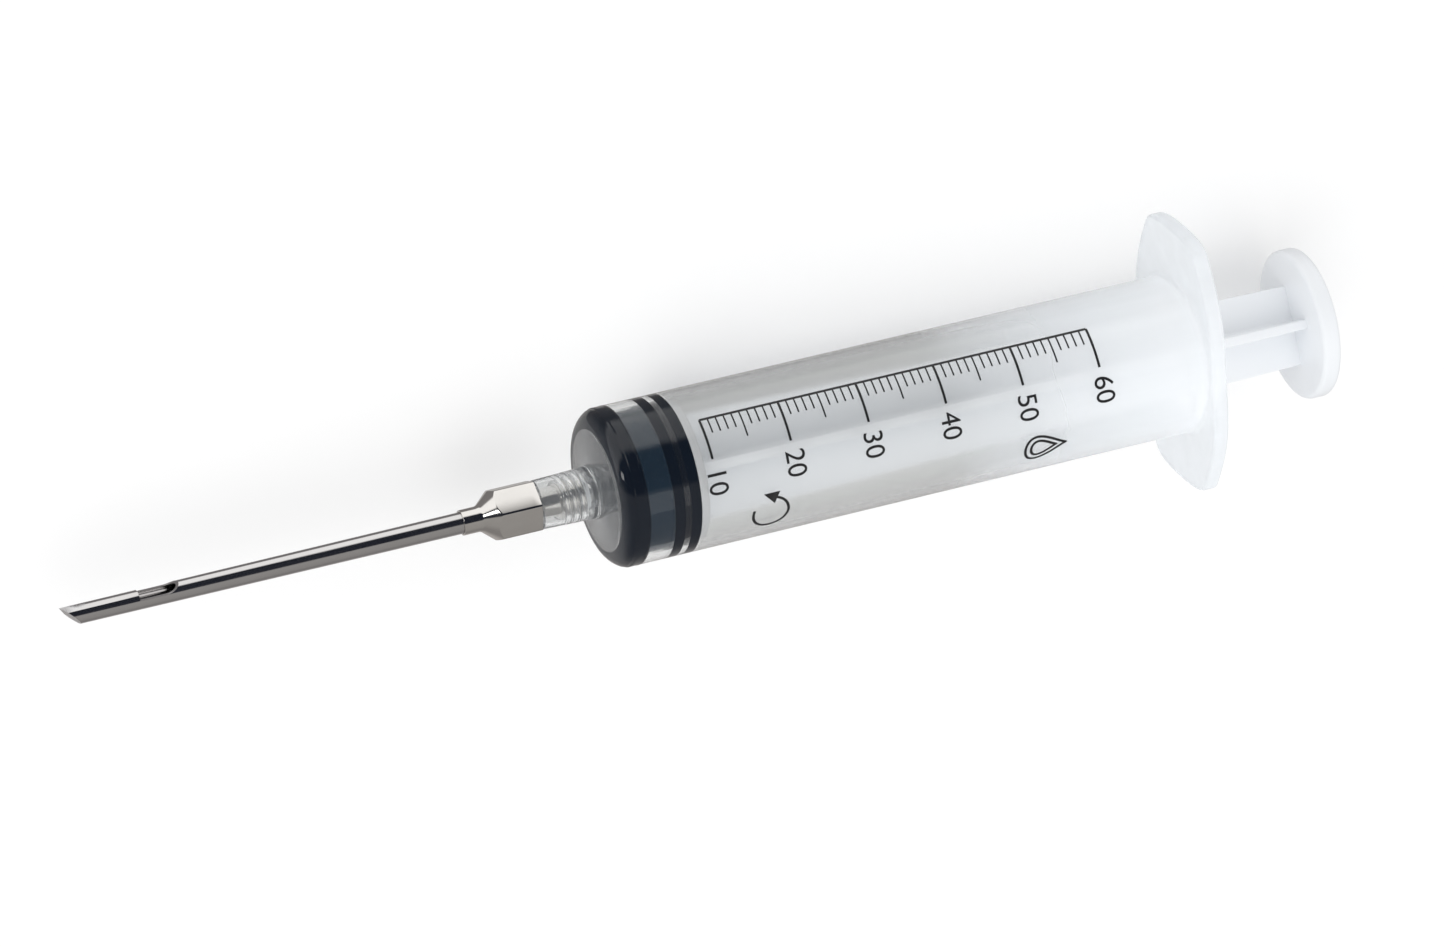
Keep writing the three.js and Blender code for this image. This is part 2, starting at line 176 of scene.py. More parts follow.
# Rounds the corners of a profile. Each point is (station, radius) or (station, radius, fillet).
def rounded(points, steps=5):
    made = []
    for index, point in enumerate(points):
        fillet = point[2] if len(point) > 2 else 0
        if not fillet or index in (0, len(points) - 1):
            made.append((point[0], point[1]))
            continue
        corner = Vector(point[:2])
        before = Vector(points[index - 1][:2]) - corner
        after = Vector(points[index + 1][:2]) - corner
        half = before.angle(after) / 2
        pull = min(fillet / math.tan(half), before.length * 0.48, after.length * 0.48)
        first = corner + before.normalized() * pull
        last = corner + after.normalized() * pull
        for step in range(steps + 1):
            t = step / steps
            spot = first * (1 - t) ** 2 + corner * 2 * t * (1 - t) + last * t ** 2
            made.append((spot.x, spot.y))
    return made


# The rounded front corner as [station, radius] pairs, from the rim to the front face.
def frontCorner(station, radius, reach, inset, steps):
    first = math.radians(tube["cornerStart"])
    pairs = []
    for i in range(steps + 1):
        angle = first + (i / steps) * (math.pi / 2 - first)
        forward = (math.sin(angle) - math.sin(first)) / (1 - math.sin(first))
        inward = 1 - math.cos(angle) / math.cos(first)
        pairs.append((station - reach * forward, radius - inset * inward))
    return pairs


# A flat outline in the X-Z plane, given thickness along Y and turned about the axis, for cutting.
def cutter(name, outline, thickness, turn, material):
    count = len(outline)
    verts = []
    for side in (-1, 1):
        for station, height in outline:
            verts.append(Vector((originX + station * mm, side * thickness / 2 * mm, height * mm)))
    spin = Matrix.Rotation(-math.radians(turn), 4, "X")
    verts = [spin @ v + Vector((0, 0, axisHeight)) for v in verts]
    faces = [tuple(range(count)), tuple(range(2 * count - 1, count - 1, -1))]
    for i in range(count):
        j = (i + 1) % count
        faces.append((i, i + count, j + count, j))
    return finishMesh(name, verts, faces, [material])


def combine(target, others, operation, sharpAngle=32):
    for other in others:
        step = target.modifiers.new("combine", "BOOLEAN")
        step.operation = operation
        step.solver = "EXACT"
        step.material_mode = "TRANSFER"
        step.object = other
        result = target.evaluated_get(bpy.context.evaluated_depsgraph_get())
        made = bpy.data.meshes.new_from_object(result)
        target.modifiers.remove(step)
        old = target.data
        target.data = made
        bpy.data.meshes.remove(old)
    for other in others:
        bpy.data.objects.remove(other)
    cleanMesh(target, sharpAngle)
    return target


# How high a screw ridge stands at this station and angle, from 0 to 1. offset says which helix it is.
def ridgeHeight(station, angle, offset, start, end):
    turns = (station - offset) / thread["pitch"] - (math.pi / 2 - angle) / (2 * math.pi)
    height = (0.5 + 0.5 * math.cos(2 * math.pi * turns)) ** thread["sharpness"]
    runIn = min(1, max(0, (station - start) / thread["runOut"]))
    runOut = min(1, max(0, (end - station) / thread["runOut"]))
    return height * min(runIn, runOut)


# material tools

def newMaterial(name):
    material = bpy.data.materials.new(name)
    material.use_nodes = True
    tree = material.node_tree
    tree.nodes.clear()
    output = tree.nodes.new("ShaderNodeOutputMaterial")
    return material, tree, output


def principled(tree, colour, roughness, metallic=0.0):
    shader = tree.nodes.new("ShaderNodeBsdfPrincipled")
    shader.inputs["Base Color"].default_value = (*colour, 1)
    shader.inputs["Roughness"].default_value = roughness
    shader.inputs["Metallic"].default_value = metallic
    return shader


# Noise on the piece's own coordinates. stretch gives its scale along each axis, in cycles per metre.
def noise(tree, stretch, detail=3.0):
    coordinates = tree.nodes.new("ShaderNodeTexCoord")
    mapping = tree.nodes.new("ShaderNodeMapping")
    mapping.inputs["Scale"].default_value = stretch
    texture = tree.nodes.new("ShaderNodeTexNoise")
    texture.inputs["Scale"].default_value = 1.0
    texture.inputs["Detail"].default_value = detail
    tree.links.new(coordinates.outputs["Object"], mapping.inputs["Vector"])
    tree.links.new(mapping.outputs["Vector"], texture.inputs["Vector"])
    return texture.outputs["Fac"]


def spread(tree, value, low, high, fromLow=0.3, fromHigh=0.7):
    node = tree.nodes.new("ShaderNodeMapRange")
    node.inputs["From Min"].default_value = fromLow
    node.inputs["From Max"].default_value = fromHigh
    node.inputs["To Min"].default_value = low
    node.inputs["To Max"].default_value = high
    tree.links.new(value, node.inputs["Value"])
    return node.outputs["Result"]


def twoColours(tree, value, first, second):
    node = tree.nodes.new("ShaderNodeMix")
    node.data_type = "RGBA"
    node.inputs["A"].default_value = (*first, 1)
    node.inputs["B"].default_value = (*second, 1)
    tree.links.new(value, node.inputs["Factor"])
    return node.outputs["Result"]


def bump(tree, value, height, shader):
    node = tree.nodes.new("ShaderNodeBump")
    node.inputs["Distance"].default_value = height * mm
    tree.links.new(value, node.inputs["Height"])
    tree.links.new(node.outputs["Normal"], shader.inputs["Normal"])


def maths(tree, operation, *values):
    node = tree.nodes.new("ShaderNodeMath")
    node.operation = operation
    for socket, value in zip(node.inputs, values):
        if isinstance(value, (int, float)):
            socket.default_value = value
        else:
            tree.links.new(value, socket)
    return node.outputs[0]


# A value that changes along the barrel's axis between two stations.
def along(tree, start, end, low, high):
    coordinates = tree.nodes.new("ShaderNodeTexCoord")
    split = tree.nodes.new("ShaderNodeSeparateXYZ")
    tree.links.new(coordinates.outputs["Object"], split.inputs[0])
    return spread(tree, split.outputs["X"], low, high, originX + start * mm, originX + end * mm)


# Clear plastic: a refracting skin with a milky veil in it, and faint flow lines along the moulding.
# Each pair is the look at the nozzle's end and at the flange's. front is (start, end, veil, veil beyond it).
def clearPlastic(name, look):
    material, tree, output = newMaterial(name)
    start, end = look["fades"]
    glass = principled(tree, look["tint"][0], look["gloss"])
    glass.inputs["Transmission Weight"].default_value = 1.0
    glass.inputs["IOR"].default_value = look["ior"]
    tint = twoColours(tree, along(tree, start, end, 0, 1), *look["tint"])
    tree.links.new(tint, glass.inputs["Base Color"])
    waveScale, flowScale, veilRoughness = (60, 160, 160), (9, 110, 110), 0.45
    bump(tree, noise(tree, waveScale), look["waviness"], glass)
    milky = principled(tree, look["veilColour"], veilRoughness)
    milky.inputs["Specular IOR Level"].default_value = 0.0
    flowLines = spread(tree, noise(tree, flowScale), 0.94, 1.06)
    cloud = maths(tree, "ADD", along(tree, start, end, *look["veil"]), along(tree, *look["front"]))
    veil = maths(tree, "MULTIPLY", flowLines, cloud)
    veilMix = tree.nodes.new("ShaderNodeMixShader")
    tree.links.new(veil, veilMix.inputs["Fac"])
    tree.links.new(glass.outputs[0], veilMix.inputs[1])
    tree.links.new(milky.outputs[0], veilMix.inputs[2])
    tree.links.new(veilMix.outputs[0], output.inputs["Surface"])
    return material


def rubber(name, dark, light, roughness, gloss):
    material, tree, output = newMaterial(name)
    shader = principled(tree, dark, roughness)
    shader.inputs["Specular IOR Level"].default_value = gloss
    grainScale, grainHeight, cloudScale = (2600, 2600, 2600), 0.02, (90, 140, 140)
    smoother, rougher = roughness - 0.06, roughness + 0.08
    grain = noise(tree, grainScale)
    tree.links.new(twoColours(tree, noise(tree, cloudScale), dark, light), shader.inputs["Base Color"])
    tree.links.new(spread(tree, grain, smoother, rougher), shader.inputs["Roughness"])
    bump(tree, grain, grainHeight, shader)
    tree.links.new(shader.outputs[0], output.inputs["Surface"])
    return material


def milkyPlastic(name, colour, shade):
    material, tree, output = newMaterial(name)
    shader = principled(tree, colour, 0.3)
    cloudScale, patchScale, smoother, rougher = (30, 120, 120), (150, 150, 150), 0.32, 0.4
    cloud = noise(tree, cloudScale)
    tree.links.new(twoColours(tree, cloud, colour, shade), shader.inputs["Base Color"])
    tree.links.new(spread(tree, noise(tree, patchScale), smoother, rougher), shader.inputs["Roughness"])
    tree.links.new(shader.outputs[0], output.inputs["Surface"])
    return material


# Metal with fine lines. lines gives the noise scale along each axis.
def metal(name, colour, roughness, lines, depth):
    material, tree, output = newMaterial(name)
    shader = principled(tree, colour, roughness, 1.0)
    cloudScale, duller, smoother, rougher = (150, 300, 300), 0.9, roughness * 0.7, roughness * 1.5
    marks = noise(tree, lines, 4.0)
    shade = tuple(c * duller for c in colour)
    tree.links.new(twoColours(tree, noise(tree, cloudScale), colour, shade), shader.inputs["Base Color"])
    tree.links.new(spread(tree, marks, smoother, rougher), shader.inputs["Roughness"])
    bump(tree, marks, depth, shader)
    tree.links.new(shader.outputs[0], output.inputs["Surface"])
    return material


barrelLook = {
    "fades": (66, 118), "tint": ((0.79, 0.795, 0.79), (0.955, 0.962, 0.968)), "veil": (0.004, 0.6),
    "front": (-3.1, -1.2, 0.055, 0), "veilColour": (0.86, 0.89, 0.92),
    "gloss": 0.02, "waviness": 0.003, "ior": 1.49,
}
boreLook = {**barrelLook, "gloss": 0.24, "tint": ((0.80, 0.805, 0.80), (0.955, 0.962, 0.968))}
washerLook = {
    "fades": (-12, 0), "tint": ((0.9, 0.92, 0.93), (0.9, 0.92, 0.93)), "veil": (0.35, 0.35),
    "front": (-12, 0, 0, 0), "veilColour": (0.85, 0.88, 0.9), "gloss": 0.25, "waviness": 0.02, "ior": 1.41,
}
barrelPlastic = clearPlastic("barrelPlastic", barrelLook)
borePlastic = clearPlastic("borePlastic", boreLook)  # a little matt, so the rod looks soft in it
washerSilicone = clearPlastic("washerSilicone", washerLook)
rodPlastic = milkyPlastic("rodPlastic", colour=(0.86, 0.88, 0.905), shade=(0.81, 0.835, 0.865))
# The head and pressure disc are the rod's own white moulding. Their grey colour is painted shade, for the
# shadow behind the disc and the dark rubber showing through it.
discPaintedShade = milkyPlastic("discPaintedShade", colour=(0.60, 0.61, 0.62), shade=(0.54, 0.55, 0.57))
landRubber = rubber(
    "landRubber", dark=(0.001, 0.004, 0.011), light=(0.002, 0.007, 0.016), roughness=0.4, gloss=0.04)
# The wide groove's rubber is a lighter, bluer copy of the land rubber. Its extra light is painted reflection
# from the gap between the groove and the barrel.
grooveRubberPaintedReflection = rubber(
    "grooveRubberPaintedReflection", dark=(0.003, 0.016, 0.033), light=(0.006, 0.022, 0.043), roughness=0.35, gloss=0.12)
hubPlating = metal(
    "hubPlating", colour=(0.92, 0.90, 0.87), roughness=0.08, lines=(900, 900, 900), depth=0.0005)
needleSteel = metal(
    "needleSteel", colour=(0.80, 0.79, 0.79), roughness=0.11, lines=(60, 5000, 5000), depth=0.004)
groundSteel = metal(
    "groundSteel", colour=(0.86, 0.86, 0.87), roughness=0.3, lines=(5200, 260, 260), depth=0.02)
boreSteel = metal(
    "boreSteel", colour=(0.55, 0.54, 0.54), roughness=0.2, lines=(80, 2500, 2500), depth=0.004)


def inkBlack():
    material, tree, output = newMaterial("ink")
    shader = principled(tree, (0.01, 0.01, 0.011), 0.45)
    patches = noise(tree, (500, 900, 900))
    black = twoColours(tree, patches, (0.006, 0.006, 0.007), (0.022, 0.022, 0.024))
    tree.links.new(black, shader.inputs["Base Color"])
    tree.links.new(shader.outputs[0], output.inputs["Surface"])
    return material


ink = inkBlack()
print("materials ready")


# barrel with its flange, nozzle and screw socket

def bezier(a, b, c, d, steps):
    points = []
    for i in range(1, steps + 1):
        t = i / steps
        weights = ((1 - t) ** 3, 3 * t * (1 - t) ** 2, 3 * t * t * (1 - t), t ** 3)
        points.append(tuple(sum(w * p[k] for w, p in zip(weights, (a, b, c, d))) for k in (0, 1)))
    return points


# How far the flange's outline stands from the axis at each angle round it.
def flangeReach():
    tip, side = flange["length"] / 2, flange["width"] / 2
    corner = (tip - flange["cornerFromTip"], flange["cornerAcross"] / 2)
    along, inward = math.cos(math.radians(flange["slant"])), math.sin(math.radians(flange["slant"]))
    pull = flange["slantEase"] * corner[0]
    turn = flange["cornerFromTip"]
    flatEnd = (flange["flat"] / 2, side)
    flatPull = (flange["flat"] * flange["flatEase"], side)
    before = (corner[0] - pull * along, corner[1] + pull * inward)
    after = (corner[0] + turn * along, corner[1] - turn * inward)
    outline = [(0, side), flatEnd]
    outline += bezier(flatEnd, flatPull, before, corner, 24)
    outline += bezier(corner, after, (tip, corner[1] * flange["tipEase"]), (tip, 0), 24)
    angles = [math.atan2(x, z) for x, z in outline]
    reaches = [math.hypot(x, z) for x, z in outline]

    def reachAt(angle):
        folded = math.atan2(abs(math.sin(angle)), abs(math.cos(angle)))
        i = min(max(1, bisect_left(angles, folded)), len(angles) - 1)
        low, high = angles[i - 1], angles[i]
        folded = min(high, max(low, folded))
        near, far = reaches[i - 1], reaches[i]  # the straight line between two points of the outline
        across = near * math.sin(folded - low) + far * math.sin(high - folded)
        return near * far * math.sin(high - low) / across

    return reachAt


def buildBarrel():
    outer = tube["outer"] / 2
    foot, edge = tube["footFillet"], flange["edgeRound"]
    reach = flangeReach()
    corner = frontCorner(0, outer, tube["cornerReach"], tube["cornerInset"], 10)
    faceStation, faceRadius = corner[-1]
    front = [
        (nozzleTip, socketRadius), (nozzleTip, nozzle["tip"] / 2, nozzle["tipRound"]),
        (nozzleFoot, nozzle["root"] / 2, nozzle["rootRound"]), (faceStation, faceRadius),
    ]
    rings = rounded(front, 8)[:-1] + corner[::-1]
    rings[-1] = (0, outer - tube["rimChamfer"])
    seam, seamWidth, seamRadius = tube["seam"], tube["seamWidth"], outer + tube["seamHeight"]
    rings += [(tube["rimChamfer"], outer), (seam, outer), (seam + seamWidth * 0.3, seamRadius)]
    rings += [(seam + seamWidth * 0.7, seamRadius), (seam + seamWidth, outer)]  # where the mould parts
    rings += [(tube["length"] * share, outer) for share in (0.25, 0.5, 0.75)]
    steps = 8
    for i in range(steps + 1):
        a = math.pi / 2 * i / steps
        rings.append((tube["length"] - foot + foot * math.sin(a), outer + foot * (1 - math.cos(a))))
    footRadius = outer + foot
    mouth = boreRadius + tube["mouthChamfer"]

    def between(inner, share):
        return lambda angle: inner + (reach(angle) - edge - inner) * share

    def edgeRings(face, towards):
        made = []
        for i in range(steps + 1):
            a = math.pi / 2 * i / steps
            grown = lambda angle, g=edge * (math.sin(a) - 1): reach(angle) + g
            made.append((face + towards * edge * (1 - math.cos(a)), grown))
        return made

    rings += [(tube["length"], between(footRadius, share)) for share in (0.35, 0.7)]
    rings += edgeRings(tube["length"], 1) + edgeRings(flangeRear, -1)[::-1]
    rings += [(flangeRear, between(mouth, share)) for share in (0.7, 0.35)]
    bead = tube["length"] - tube["beadFromFlange"]
    half = tube["beadWidth"] / 2
    beadRadius = boreRadius - tube["beadHeight"]
    inner = frontCorner(
        0, boreRadius, tube["cornerReach"] - tube["wall"], tube["cornerInset"] - tube["wall"], 8
    )
    innerStation, innerRadius = inner[-1]
    slope = tube["faceRise"] / (outer - tube["cornerInset"] - nozzle["root"] / 2)
    passage = tube["passage"] / 2
    passageStation = innerStation - slope * (innerRadius - passage)
    soft = tube["beadRound"]
    inside = [
        (flangeRear, mouth), (flangeRear - tube["mouthChamfer"], boreRadius, tube["mouthRound"]),
        (bead + half, boreRadius, soft), (bead + half / 2, beadRadius, soft),
        (bead - half / 2, beadRadius, soft), (bead - half, boreRadius, soft),
        (tube["length"] / 2, boreRadius), (tube["matt"], boreRadius),
    ]
    rings += rounded(inside, 6) + inner
    rings += [(passageStation, passage), (socketFloor, passage), (socketFloor, socketRadius)]
    ridgeEnd = socketFloor - thread["pitch"] / 2
    offset = threadStart + thread["pitch"] / 2
    crest = socketRadius - (thread["major"] / 2 - thread["depth"] + thread["clearance"])
    count = thread["socketRings"]
    for i in range(count + 1):
        station = ridgeEnd + (threadStart - ridgeEnd) * i / count
        threaded = lambda angle, s=station: socketRadius - crest * ridgeHeight(
            s, angle, offset, threadStart, ridgeEnd
        )
        rings.append((station, threaded))
    made = loft("clearBarrel", rings, sides["barrel"], [barrelPlastic, borePlastic], loop=True, sharpAngle=17)
    for face in made.data.polygons:
        station, away = spotOf(face.center)
        inBore = tube["matt"] < station < bead and abs(away - boreRadius) < tube["wall"] / 2
        face.material_index = 1 if inBore else 0
    return made


clearBarrel = buildBarrel()
clearBarrel.visible_shadow = False  # clear plastic lets the room's light through to what is inside it
clearBarrel.visible_diffuse = False
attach(clearBarrel, "barrel")
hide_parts("barrel")
print("barrel ready:", len(clearBarrel.data.polygons), "faces")


# rubber piston, and the sizes of the rod that snaps into it

piston = {
    "contact": 0.02, "faceGap": 0.4, "faceStep": 0.5,
    "wideGroove": (3.0, 7.8, 0.5), "thinGroove": (10.1, 11.1, 0.4), "grooveEase": 0.2,
    "landRound": 0.12, "grooveRound": 0.15, "rearRound": 0.35, "mouthRound": 0.2,
    "rear": 13.3, "lip": 2.2,
}
rod = {
    "discGap": 0.8, "disc": 1.6, "head": 14.4, "headLength": 3.2, "neck": 9.8, "snap": 0.3,
    "headTaper": 0.2, "headRound": 0.6, "edgeRound": 0.2, "neckRound": 0.15, "discRound": 0.25,
    "rib": 1.8, "ribFoot": 0.7, "ribEdge": 0.3, "spanFront": 20.4, "spanRear": 15.6, "turn": 24, "sunk": 0.5,
    "reach": 21.9, "thumb": 29.6, "thumbThickness": 3.8, "thumbRound": 1.1,
}


def buildPiston():
    radius = boreRadius + piston["contact"]  # the lands and the shoulder press on the plastic
    reach, inset = tube["cornerReach"] - tube["wall"], tube["cornerInset"] - tube["wall"]
    slope = tube["faceRise"] / (tube["outer"] / 2 - tube["cornerInset"] - nozzle["root"] / 2)
    corner = frontCorner(-piston["contact"], radius, reach, inset, 8)[::-1]
    cornerStation, cornerRadius = corner[0]
    faceStation, faceRadius = cornerStation + piston["faceGap"], cornerRadius - piston["faceStep"]
    lipFront = piston["rear"] - piston["lip"]
    cavityFront = lipFront - rod["headLength"] - 2 * rod["snap"]
    cavity = rod["head"] / 2 + rod["snap"]
    mouth = rod["neck"] / 2 + rod["snap"]
    lands = [(corner[-1][0], radius, 0)]
    for start, end, depth in (piston["wideGroove"], piston["thinGroove"]):
        ease, top, foot = piston["grooveEase"], piston["landRound"], piston["grooveRound"]
        lands += [
            (start - ease, radius, top), (start, radius - depth, foot),
            (end - ease, radius - depth, foot), (end, radius, top),
        ]
    soft = piston["mouthRound"]
    lands += [(piston["rear"], radius, piston["rearRound"]), (piston["rear"], mouth, soft)]
    lands += [(lipFront, mouth, soft), (lipFront, cavity, soft)]
    lands += [(cavityFront, cavity, soft), (cavityFront, 0)]
    rings = [(faceStation - slope * faceRadius, 0), (faceStation, faceRadius)] + corner + rounded(lands)[1:]
    made = loft("pistonRubber", rings, sides["piston"], [landRubber, grooveRubberPaintedReflection])
    start, end, depth = piston["wideGroove"]
    insideLand = radius - depth * 0.4
    wellInside = 0.8 * insideLand
    for face in made.data.polygons:
        station, away = spotOf(face.center)
        inGroove = start - ease / 2 < station < end and wellInside < away < insideLand
        face.material_index = 1 if inGroove else 0  # the wide groove gets the lighter, bluer rubber: painted reflection of the gap between it and the barrel
    return made


pistonRubber = buildPiston()
pistonRubber.visible_shadow = False  # keeps a hard dark patch off the floor
pistonRubber.visible_diffuse = False
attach(pistonRubber, "piston")
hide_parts("piston_seal")
print("piston ready")


# plunger rod: piston head, pressure disc, crossed ribs and thumb disc

# The outline of four crossed ribs: inner is the fillet at their foot, outer the one at their edge.
def crossPoints(span, rib, inner, outer, steps=4):
    half, arm = rib / 2, span / 2
    corners = [(half, half, inner), (arm, half, outer), (arm, -half, outer)]
    points = []
    for quarter in range(4):
        turn = Matrix.Rotation(quarter * math.pi / 2, 2)
        ring = [(half, half), (arm, half), (arm, -half), (half, -half)]
        for index, (x, y, fillet) in enumerate(corners):
            before = Vector(ring[index - 1]) - Vector((x, y)) if index else Vector((0, 1))
            after = Vector(ring[index + 1]) - Vector((x, y))
            first = Vector((x, y)) + before.normalized() * fillet
            last = Vector((x, y)) + after.normalized() * fillet
            for step in range(steps + 1):
                t = step / steps
                spot = first * (1 - t) ** 2 + Vector((x, y)) * 2 * t * (1 - t) + last * t ** 2
                points.append(turn.inverted() @ spot)
    return points


def buildRod():
    disc = piston["rear"] + rod["snap"]
    discRear = disc + rod["disc"]
    thumbFront = flangeRear + rod["reach"]
    thumbRear = thumbFront + rod["thumbThickness"]
    headRear = piston["rear"] - piston["lip"] - rod["snap"]
    headFront = headRear - rod["headLength"]
    discRadius = boreRadius - rod["discGap"]
    headRadius, neck, foot, edge = rod["head"] / 2, rod["neck"] / 2, rod["neckRound"], rod["discRound"]
    front = rounded([
        (headFront, 0), (headFront, headRadius - rod["headTaper"], rod["headRound"]),
        (headRear, headRadius, rod["edgeRound"]), (headRear, neck, foot), (disc, neck, foot),
        (disc, discRadius, edge), (discRear, discRadius, edge), (discRear, 0),
    ])
    # the head, neck and pressure disc take the grey plastic with painted shade
    made = loft("plungerRod", front, sides["rod"], [discPaintedShade])
    thumbRadius, soft = rod["thumb"] / 2, rod["thumbRound"]
    thumb = rounded([
        (thumbFront, 0), (thumbFront, thumbRadius, soft), (thumbRear, thumbRadius, soft), (thumbRear, 0),
    ], 7)
    thumbDisc = loft("thumbDisc", thumb, sides["rod"], [rodPlastic])
    sunk = rod["sunk"]  # how far the ribs run into both discs
    verts, faces, rows = [], [], []
    stations = [discRear - sunk, discRear + sunk, thumbFront - sunk, thumbFront + sunk]
    for station in stations:
        share = (station - discRear) / (thumbFront - discRear)
        span = rod["spanFront"] + (rod["spanRear"] - rod["spanFront"]) * share
        row = []
        for spot in crossPoints(span, rod["rib"], rod["ribFoot"], rod["ribEdge"]):
            angle = math.atan2(spot.x, spot.y) + math.radians(rod["turn"])
            row.append(len(verts))
            verts.append(place(station, angle, spot.length))
        rows.append(row)
    for here, there in zip(rows, rows[1:]):
        for i in range(len(here)):
            j = (i + 1) % len(here)
            faces.append((here[i], there[i], there[j], here[j]))
    faces.append(tuple(rows[0]))
    faces.append(tuple(reversed(rows[-1])))
    ribs = finishMesh("ribs", verts, faces, [rodPlastic])
    return combine(made, [ribs, thumbDisc], "UNION")


plungerRod = buildRod()
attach(plungerRod, "plunger")
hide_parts("plunger_rod")
print("plunger rod ready:", len(plungerRod.data.polygons), "faces")


# plated hub: collar, flare, hexagon, neck and screw thread

# How far the hexagon's surface stands from the axis at this angle.
def hexReach(angle):
    sector = math.pi / 3
    folded = (angle - math.radians(hub["turn"]) + sector / 2) % sector - sector / 2  # 0 at a corner
    flat, soft, crown = hub["flats"] / 2, hub["cornerRound"], hub["crown"]
    fromMiddle = sector / 2 - abs(folded)  # 0 at the middle of a face
    onFlat = (flat - crown * (math.tan(fromMiddle) / math.tan(sector / 2)) ** 2) / math.cos(fromMiddle)
    centre = (flat - crown - soft) / math.cos(sector / 2)
    onRound = centre * math.cos(folded) + math.sqrt(max(0, soft ** 2 - (centre * math.sin(folded)) ** 2))
    inRound = math.atan2(soft * math.sin(sector / 2), centre + soft * math.cos(sector / 2))
    return onRound if abs(folded) < inRound else onFlat


# The smaller of two values, with a rounded change from one to the other.
def softSmaller(a, b, blend):
    share = max(0.0, min(1.0, 0.5 + (b - a) / (2 * blend)))
    return b + (a - b) * share - blend * share * (1 - share)


def buildHub():
    collar = hub["collar"] / 2
    corner = hub["flats"] / 2 / math.cos(math.pi / 6)
    seatEnd = collarFront + hub["seat"] + hub["seatRoom"]
    seatRadius = needle["root"] / 2 + hub["tubeGap"]
    wide = corner + hub["past"]  # the flare runs on past the hexagon's corners, and the hexagon cuts it
    flare = rounded([
        (collarFront, seatRadius + hub["seatEdge"]), (collarFront, collar, hub["collarRound"]),
        (collarRear, collar, hub["flareRound"]), (coneRear + hub["past"], wide),
        (hexRear - hub["flareEnd"], wide),
    ], 9)
    rings = []
    for (s0, r0), (s1, r1) in zip(flare, flare[1:]):
        steps = max(1, math.ceil(abs(s1 - s0) / hub["ringStep"])) if s1 < coneRear + 1 else 6
        for i in range(steps):
            share = i / steps
            rings.append((s0 + (s1 - s0) * share, r0 + (r1 - r0) * share))
    outside = []
    for station, radius in rings:
        if radius < hub["flats"] / 2 - hub["roundBelow"]:  # well inside the hexagon, a plain circle
            outside.append((station, radius))
        else:
            outside.append((station, lambda a, r=radius: softSmaller(r, hexReach(a), hub["flareBlend"])))
    soft = hub["rearRound"]
    for back, inset in ((soft, 0), (soft / 3, soft / 3), (0, soft)):
        outside.append((hexRear - back, lambda a, i=inset: hexReach(a) - i))
    neck = hub["neck"] / 2
    core = thread["major"] / 2 - thread["depth"]
    outside += rounded([
        (hexRear, neck + hub["shoulder"]), (hexRear, neck, hub["neckRound"]),
        (threadStart, neck, hub["threadRound"]), (threadStart, core),
    ])[1:]
    count = thread["shankRings"]
    for i in range(1, count):
        station = threadStart + (threadEnd - threadStart) * i / count
        outside.append((station, lambda a, s=station: core + thread["depth"] * ridgeHeight(
            s, a, threadStart, threadStart, threadEnd
        )))
    pilot, channel = hub["pilot"] / 2, hub["channel"] / 2
    outside += rounded([
        (threadEnd, core), (threadEnd, pilot, hub["pilotRound"]), (shankEnd, pilot, hub["endRound"]),
        (shankEnd, channel, hub["mouthRound"]), (seatEnd, channel, hub["seatRound"]),
        (seatEnd, seatRadius, hub["seatRound"]), (collarFront, seatRadius),
    ], 3)
    return loft("platedHub", outside, sides["hub"], [hubPlating], loop=True, sharpAngle=40)


platedHub = buildHub()
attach(platedHub, "needle")
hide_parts("needle_hub")
print("hub ready:", len(platedHub.data.polygons), "faces")


# needle tube with its side window and ground point, and the metal that closes its end

def pointGrinds():
    tip, wide = needle["tip"] / 2, 4 * needle["root"]
    slope = needle["bevel"] / (2 * tip)
    point = needleTip + needle["dulled"]
    bevelOutline = [
        (point - wide, tip), (point, tip),
        (point + slope * (wide + tip), -wide), (point - wide, -wide),
    ]
    depth = tip * (1 - math.cos(math.radians(needle["facetSpread"])))
    grind = depth / needle["facet"]
    facetOutline = [
        (needleTip - needle["facet"], tip - 2 * depth),
        (needleTip + 2 * needle["facet"], tip + grind * needle["facet"]),
        (needleTip + 2 * needle["facet"], wide), (needleTip - needle["facet"], wide),
    ]
    turn, side = needle["pointTurn"], needle["facetSpread"]
    return [
        cutter("bevelCut", bevelOutline, 2 * wide, turn, groundSteel),
        cutter("leftGrind", facetOutline, 2 * wide, turn - side, groundSteel),
        cutter("rightGrind", facetOutline, 2 * wide, turn + side, groundSteel),
    ]


def windowCut():
    start = needleTip + needle["windowFromTip"]
    floorEnd = start + needle["windowFloor"]
    radius = needle["root"] / 2
    floor = radius * (1 - needle["windowDepth"])
    climb, runout = radius - floor, needle["windowRunout"]
    wheel = (runout ** 2 + climb ** 2) / (2 * climb)
    lastAngle = math.asin(min(1, runout / wheel))
    outline = [(start, floor)]
    steps = 14
    for i in range(steps + 1):
        angle = lastAngle * i / steps
        outline.append((floorEnd + wheel * math.sin(angle), floor + wheel * (1 - math.cos(angle))))
    above = radius * 3
    outline += [(floorEnd + runout, above), (start, above)]
    return cutter("windowCut", outline, 2 * needle["root"], needle["windowTurn"], needleSteel)


